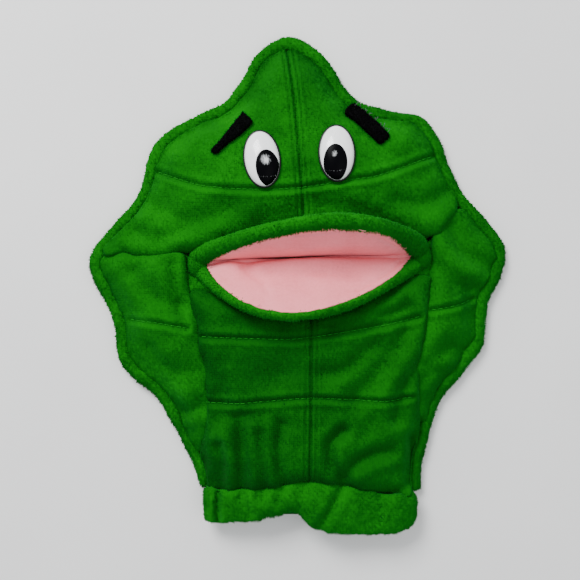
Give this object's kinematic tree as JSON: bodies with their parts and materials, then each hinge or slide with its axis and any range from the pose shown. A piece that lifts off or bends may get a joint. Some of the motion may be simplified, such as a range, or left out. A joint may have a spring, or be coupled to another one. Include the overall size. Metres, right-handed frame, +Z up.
{
  "type": "moving mouth hand puppet",
  "caption": "Padded plush leaf-shaped hand puppet with a wide boarded mouth worked from inside by fingers and thumb, domed plastic eyes and an open cuff for the hand.",
  "frame": {"origin": "middle of the footprint on the surface the puppet lies on", "axes": "puppet lying on its back: +Z up out of the face, +Y from the cuff to the tip of the leaf, +X to the viewer's right"},
  "size_m": [0.2603, 0.31, 0.0556],
  "materials": {
    "plush": "short brushed pile",
    "mouth_cloth": "matt woven cotton",
    "lining": "smooth woven",
    "padding": "loose fibre",
    "board": "stiff grey board",
    "eye_white": "gloss",
    "eye_black": "gloss",
    "washer": "matt",
    "brow": "short black pile"
  },
  "bodies": {
    "cover": {"back_panel": "plush", "back_padding": "padding", "edge_flange": "plush", "face_left": "plush", "face_right": "plush", "wing_left": "plush", "wing_right": "plush", "belly_left": "plush", "belly_right": "plush", "face_padding_left": "padding", "face_padding_right": "padding", "wing_padding_left": "padding", "wing_padding_right": "padding", "belly_padding_left": "padding", "belly_padding_right": "padding", "tip_stuffing": "padding", "cuff_band": "plush", "hand_lining": "lining", "eye_white_left": "eye_white", "eye_white_right": "eye_white", "pupil_left": "eye_black", "pupil_right": "eye_black", "eye_post_left": "eye_black", "eye_post_right": "eye_black", "eye_washer_left": "washer", "eye_washer_right": "washer", "brow_left": "brow", "brow_right": "brow", "mouth_fold": "mouth_cloth"},
    "upper_jaw": {"upper_palate": "mouth_cloth", "upper_board": "board", "upper_lip": "plush", "finger_pocket": "lining"},
    "lower_jaw": {"lower_palate": "mouth_cloth", "lower_board": "board", "lower_lip": "plush", "thumb_pocket": "lining"}
  },
  "joints": [
    {"name": "upper_jaw_hinge", "type": "hinge", "parent": "cover", "child": "upper_jaw", "pos_m": [0.007, 0.016, 0.016], "axis": [0.9994, 0.0349, 0], "range_deg": [-12, 22]},
    {"name": "lower_jaw_hinge", "type": "hinge", "parent": "cover", "child": "lower_jaw", "pos_m": [0.007, 0.016, 0.016], "axis": [0.9994, 0.0349, 0], "range_deg": [-42, 15]}
  ]
}
